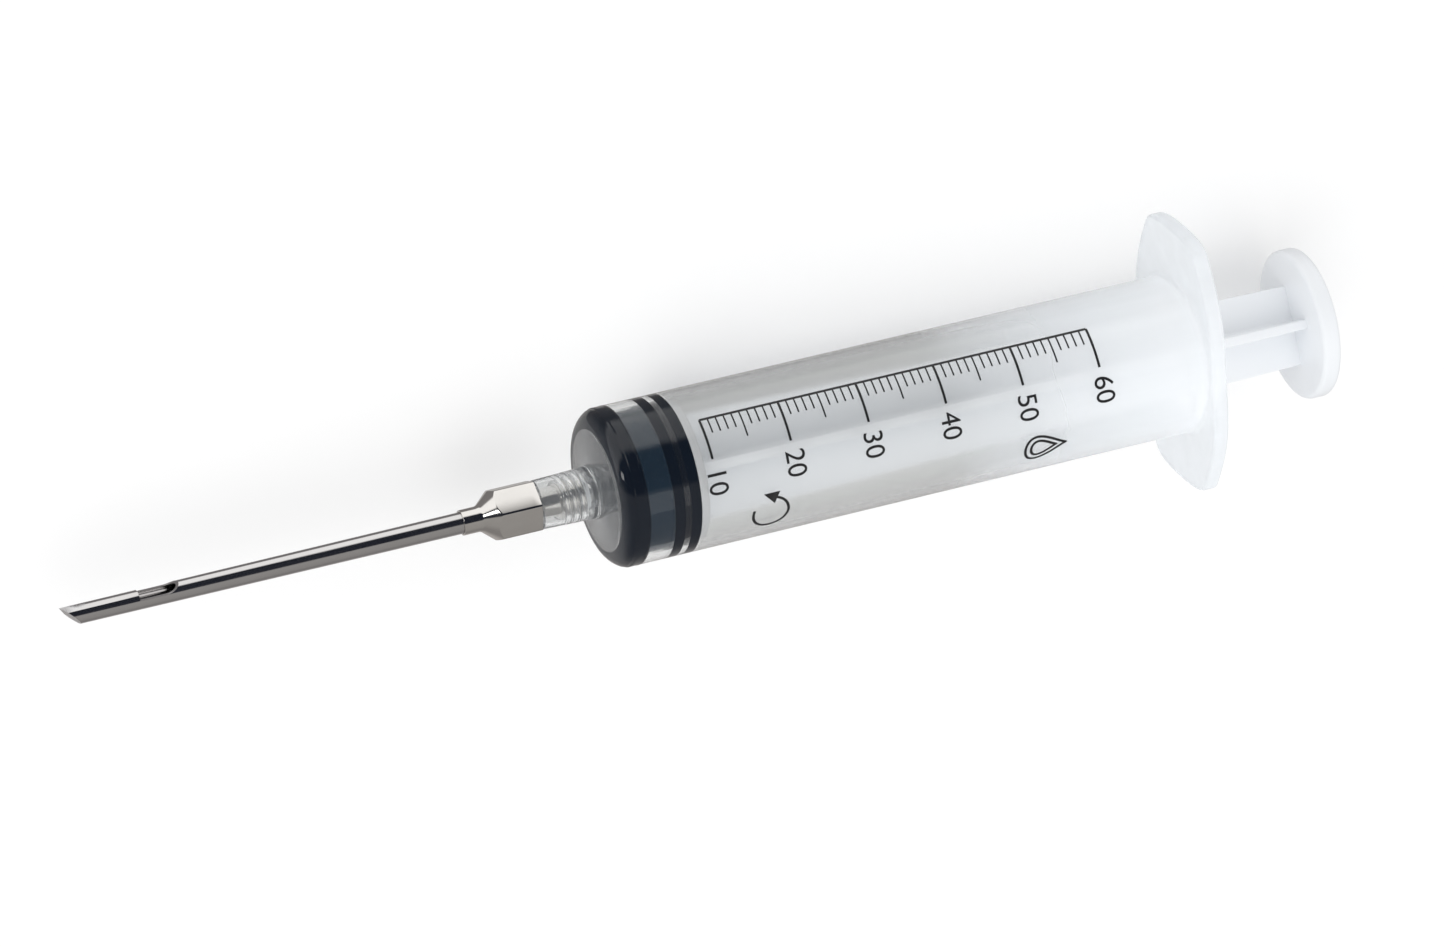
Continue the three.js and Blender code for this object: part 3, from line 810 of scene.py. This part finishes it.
def buildNeedle():
    root, tip, wall, chamfer = needle["root"] / 2, needle["tip"] / 2, needle["wall"], needle["rearChamfer"]
    rear = collarFront + hub["seat"]
    rings = [
        (needleTip, tip), (collarFront, root), (rear - chamfer, root), (rear, root - chamfer),
        (rear, root - wall), (collarFront, root - wall), (needleTip, tip - wall),
    ]
    made = loft("steelNeedle", rings, sides["needle"], [needleSteel, groundSteel], loop=True)
    return combine(made, pointGrinds() + [windowCut()], "DIFFERENCE")


def buildTipPlug():
    radius = needle["tip"] / 2 - needle["wall"] - needle["plugGap"]
    end = needleTip + needle["plug"]
    rings = rounded([(needleTip, 0), (needleTip, radius), (end, radius, needle["plugRound"]), (end, 0)])
    made = loft("tipPlug", rings, sides["small"], [boreSteel, groundSteel])
    return combine(made, pointGrinds(), "DIFFERENCE")


steelNeedle = buildNeedle()
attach(steelNeedle, "needle")
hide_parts("needle_tube")
tipPlug = buildTipPlug()
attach(tipPlug, "needle")
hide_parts("needle_tip_plug")
print("needle ready:", len(steelNeedle.data.polygons), "faces")


# seal washer

def buildWasher():
    outer = thread["major"] / 2 - thread["depth"]
    inner = hub["pilot"] / 2 + washer["gap"]
    start = threadEnd + washer["gap"]
    end = start + washer["thickness"]
    wide, narrow = washer["outerRound"], washer["innerRound"]
    corners = [(start, outer, wide), (end, outer, wide), (end, inner, narrow), (start, inner, narrow)]
    around = corners[-1:] + corners + corners[:1]
    return loft("sealWasher", rounded(around)[1:-1], sides["small"], [washerSilicone], True, 60)


sealWasher = buildWasher()
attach(sealWasher, "needle_seal")
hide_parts("hub_seal")
print("washer ready")


# printed scale: a line for every 1 ml, longer at 5 and 10, numbers at every 10, and two plain signs
scale = {
    "startAngle": 60, "first": 10, "last": 60, "step": 1, "zero": 0.4,
    "short": 3.2, "middle": 5.4, "long": 8.2, "line": 0.32, "longLine": 0.5, "proud": 0.03,
    "pressed": 0.02, "bend": 0.45, "weld": 0.005, "numberSize": 5.6, "numberGap": 1.6,
}


def onBarrel(station, around, lift):
    radius = tube["outer"] / 2
    return place(station, math.radians(scale["startAngle"]) - around / radius, radius + lift)


# A flat line of ink along a path of (station, around) points. width may be a list, one for each point.
def inkLine(marks, path, width, closed=False):
    verts, faces = marks
    count = len(path)
    first = len(verts)
    for i, (station, around) in enumerate(path):
        before = Vector(path[i - 1] if i or closed else path[0])
        after = Vector(path[(i + 1) % count] if i < count - 1 or closed else path[-1])
        run = (after - before).normalized()
        half = (width[i] if isinstance(width, list) else width) / 2
        for side in (-1, 1):
            for lift in (-scale["pressed"], scale["proud"]):
                verts.append(onBarrel(station - run.y * half * side, around + run.x * half * side, lift))
    links = count if closed else count - 1
    for i in range(links):
        a, b = first + 4 * i, first + 4 * ((i + 1) % count)
        for here, there in ((0, 1), (1, 3), (3, 2), (2, 0)):
            faces.append((a + here, a + there, b + there, b + here))
    if not closed:
        last = first + 4 * (count - 1)
        faces.append((first, first + 2, first + 3, first + 1))
        faces.append((last, last + 1, last + 3, last + 2))


def inkNumber(marks, text, station, around, size):
    verts, faces = marks
    curve = bpy.data.curves.new("number", "FONT")
    curve.body = text
    curve.size = size
    curve.align_x = "LEFT"
    curve.align_y = "CENTER"
    shape = bpy.data.objects.new("number", curve)
    bpy.context.scene.collection.objects.link(shape)
    flat = bpy.data.meshes.new_from_object(shape.evaluated_get(bpy.context.evaluated_depsgraph_get()))
    work = bmesh.new()
    work.from_mesh(flat)
    step = scale["bend"]  # cuts the flat numbers into strips, so that they bend round the barrel
    for i in range(1, math.ceil(size * len(text) / step)):
        everything = work.verts[:] + work.edges[:] + work.faces[:]
        bmesh.ops.bisect_plane(work, geom=everything, plane_co=(i * step, 0, 0), plane_no=(1, 0, 0))
    bmesh.ops.remove_doubles(work, verts=work.verts, dist=scale["weld"])
    work.verts.index_update()
    count, first = len(work.verts), len(verts)
    for lift in (scale["proud"], -scale["pressed"]):
        verts.extend(onBarrel(station + v.co.y, around + v.co.x, lift) for v in work.verts)
    for face in work.faces:
        ring = [first + v.index for v in face.verts]
        faces.append(tuple(ring))
        faces.append(tuple(i + count for i in reversed(ring)))
    for edge in work.edges:
        if edge.is_boundary:
            a, b = (first + v.index for v in edge.verts)
            faces.append((a, b, b + count, a + count))
    work.free()
    bpy.data.objects.remove(shape)
    bpy.data.meshes.remove(flat)


def buildScale():
    marks = ([], [])
    numbers = ([], [])
    cubic = 1000  # cubic millimetres in a millilitre
    area = math.pi * boreRadius ** 2 / cubic  # millilitres for each millimetre of stroke
    for volume in range(scale["first"], scale["last"] + 1, scale["step"]):
        station = scale["zero"] + volume / area
        reach, line = scale["short"], scale["line"]
        if volume % 5 == 0:
            reach = scale["middle"]
        if volume % 10 == 0:
            reach, line = scale["long"], scale["longLine"]
            around = scale["long"] + scale["numberGap"]
            inkNumber(numbers, str(volume), station, around, scale["numberSize"])
        steps = 8
        inkLine(marks, [(station, reach * i / steps) for i in range(steps + 1)], line)
    top, bottom = scale["zero"] + scale["first"] / area, scale["zero"] + scale["last"] / area
    inkLine(marks, [(top, 0), (bottom, 0)], scale["longLine"])
    return marks, numbers


# A drop, and an arrow that turns clockwise, which is how the needle is screwed in.
sign = {
    "drop": (84, 22), "dropLength": 8.5, "dropWidth": 6.2, "dropTaper": 1.6, "dropInner": 0.62,
    "innerShift": 1.1, "line": 0.55,
    "arrow": (27, 22), "arrowRadius": 3.6, "arrowStart": 200, "arrowSweep": 270, "arrowHead": 3.0,
}


def buildSigns():
    marks = ([], [])
    station, around = sign["drop"]
    corners = 48
    for share in (1.0, sign["dropInner"]):
        drop = []
        for i in range(corners):
            t = 2 * math.pi * i / corners
            wide = math.sin(t) * math.sin(t / 2) ** sign["dropTaper"]
            drop.append((
                station + sign["dropLength"] / 2 * share * math.cos(t) - (1 - share) * sign["innerShift"],
                around + sign["dropWidth"] / 1.5 * share * wide,
            ))
        inkLine(marks, drop, sign["line"], closed=True)
    station, around = sign["arrow"]
    radius = sign["arrowRadius"]
    arc = []
    steps = 32
    for i in range(steps + 1):
        t = math.radians(sign["arrowStart"] - sign["arrowSweep"] * i / steps)
        arc.append((station + radius * math.cos(t), around + radius * math.sin(t)))
    inkLine(marks, arc, sign["line"])
    (s0, a0), (s1, a1) = arc[-2], arc[-1]
    run = Vector((s1 - s0, a1 - a0)).normalized()
    point = sign["arrowHead"]
    shares, headWide, tipWide = (0, 0.33, 0.66, 1), 0.9, 0.06
    head = [(s1 + run.x * point * k, a1 + run.y * point * k) for k in shares]
    inkLine(marks, head, [point * (1 - k) * headWide + tipWide for k in shares])
    return marks


scaleMarks, scaleNumbers = buildScale()
for name, marks in (("scaleMarks", scaleMarks), ("scaleNumbers", scaleNumbers), ("signs", buildSigns())):
    printed = finishMesh(name, *marks, [ink])
    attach(printed, "barrel")
print("printed scale ready")


# camera
view = {
    "lens": 209.22, "aim": (0.00429, -0.00265, 0.0176), "distance": 1.598,
    "azimuth": -144.03, "elevation": 57.707, "roll": 135.061,
}
azimuth, elevation = math.radians(view["azimuth"]), math.radians(view["elevation"])
away = Vector((
    math.cos(elevation) * math.sin(azimuth),
    -math.cos(elevation) * math.cos(azimuth),
    math.sin(elevation),
))
lens = bpy.data.cameras.new("camera")
lens.lens = view["lens"]
lens.clip_end = 50
camera = bpy.data.objects.new("camera", lens)
bpy.context.scene.collection.objects.link(camera)
camera.location = Vector(view["aim"]) + away * view["distance"]
camera.rotation_mode = "QUATERNION"
camera.rotation_quaternion = away.to_track_quat("Z", "Y") @ Quaternion((0, 0, 1), math.radians(view["roll"]))
bpy.context.scene.camera = camera

# studio: pale floor, a wide softbox overhead, a small side card, and walls for the metal to mirror, each one
# given as (degrees from straight up towards +Y, colour)
studio = {
    "floorColour": (0.93, 0.93, 0.93), "floorHalf": 6, "tent": (0.92, 0.92, 0.92),
    "softbox": 20, "softboxSize": 3.0, "softboxPlace": (-0.5, -0.6, 2.3),
    "card": 0.7, "cardSize": (0.22, 0.22), "cardPlace": (-1.35, 0.5, 0.5),
    "walls": [
        (-180, (0.45, 0.44, 0.43)), (-120, (0.40, 0.38, 0.37)), (-98, (0.22, 0.21, 0.205)),
        (-80, (0.22, 0.21, 0.205)), (-54, (0.28, 0.27, 0.26)), (3, (0.31, 0.30, 0.29)),
        (10, (0.012, 0.014, 0.022)), (67, (0.010, 0.012, 0.020)), (73, (0.60, 0.59, 0.58)),
        (77, (0.95, 0.94, 0.93)), (84, (1.0, 0.99, 0.98)), (125, (1.0, 0.99, 0.98)),
        (134, (0.20, 0.19, 0.19)), (180, (0.18, 0.17, 0.17)),
    ],
}


def buildStudio():
    floorMaterial, tree, output = newMaterial("paleFloor")
    shader = principled(tree, studio["floorColour"], 0.7)
    grain = spread(tree, noise(tree, (40, 40, 40)), 0.62, 0.78)
    tree.links.new(grain, shader.inputs["Roughness"])
    tree.links.new(shader.outputs[0], output.inputs["Surface"])
    half = studio["floorHalf"]
    corners = [(-half, -half, 0), (half, -half, 0), (half, half, 0), (-half, half, 0)]
    floor = finishMesh("floor", corners, [(0, 1, 2, 3)], [floorMaterial])
    floor.visible_glossy = False  # the walls alone show in the metal and the plastic
    lamp = bpy.data.lights.new("softbox", "AREA")
    lamp.shape = "SQUARE"
    lamp.size = studio["softboxSize"]
    lamp.energy = studio["softbox"]
    box = bpy.data.objects.new("softbox", lamp)
    bpy.context.scene.collection.objects.link(box)
    box.location = studio["softboxPlace"]
    box.rotation_mode = "QUATERNION"
    box.rotation_quaternion = Vector(studio["softboxPlace"]).to_track_quat("Z", "Y")
    box.visible_glossy = False
    card = bpy.data.lights.new("sideCard", "AREA")
    card.shape = "RECTANGLE"
    card.size, card.size_y = studio["cardSize"]
    card.energy = studio["card"]
    panel = bpy.data.objects.new("sideCard", card)
    bpy.context.scene.collection.objects.link(panel)
    panel.location = studio["cardPlace"]
    panel.rotation_mode = "QUATERNION"
    panel.rotation_quaternion = Vector(studio["cardPlace"]).to_track_quat("Z", "Y")
    world = bpy.data.worlds.new("studioWalls")
    bpy.context.scene.world = world
    world.use_nodes = True
    tree = world.node_tree
    coordinates = tree.nodes.new("ShaderNodeTexCoord")
    split = tree.nodes.new("ShaderNodeSeparateXYZ")
    turn = tree.nodes.new("ShaderNodeMath")
    turn.operation = "ARCTAN2"
    share = tree.nodes.new("ShaderNodeMapRange")
    share.inputs["From Min"].default_value = -math.pi
    share.inputs["From Max"].default_value = math.pi
    ramp = tree.nodes.new("ShaderNodeValToRGB")
    stops = ramp.color_ramp.elements
    for index, (angle, colour) in enumerate(studio["walls"]):
        spot = (angle + 180) / 360
        stop = stops[index] if index < 2 else stops.new(spot)
        stop.position = spot
        stop.color = (*colour, 1)
    tree.links.new(coordinates.outputs["Generated"], split.inputs[0])
    tree.links.new(split.outputs["Y"], turn.inputs[0])
    tree.links.new(split.outputs["Z"], turn.inputs[1])
    tree.links.new(turn.outputs[0], share.inputs["Value"])
    tree.links.new(share.outputs["Result"], ramp.inputs["Fac"])
    rays = tree.nodes.new("ShaderNodeLightPath")
    seen = tree.nodes.new("ShaderNodeMix")  # the walls show in reflections, an even tent lights the rest
    seen.data_type = "RGBA"
    seen.inputs["A"].default_value = (*studio["tent"], 1)
    tree.links.new(rays.outputs["Is Glossy Ray"], seen.inputs["Factor"])
    tree.links.new(ramp.outputs["Color"], seen.inputs["B"])
    tree.links.new(seen.outputs["Result"], tree.nodes["Background"].inputs["Color"])
    bpy.context.scene.view_settings.view_transform = "Standard"


buildStudio()
print("studio ready")
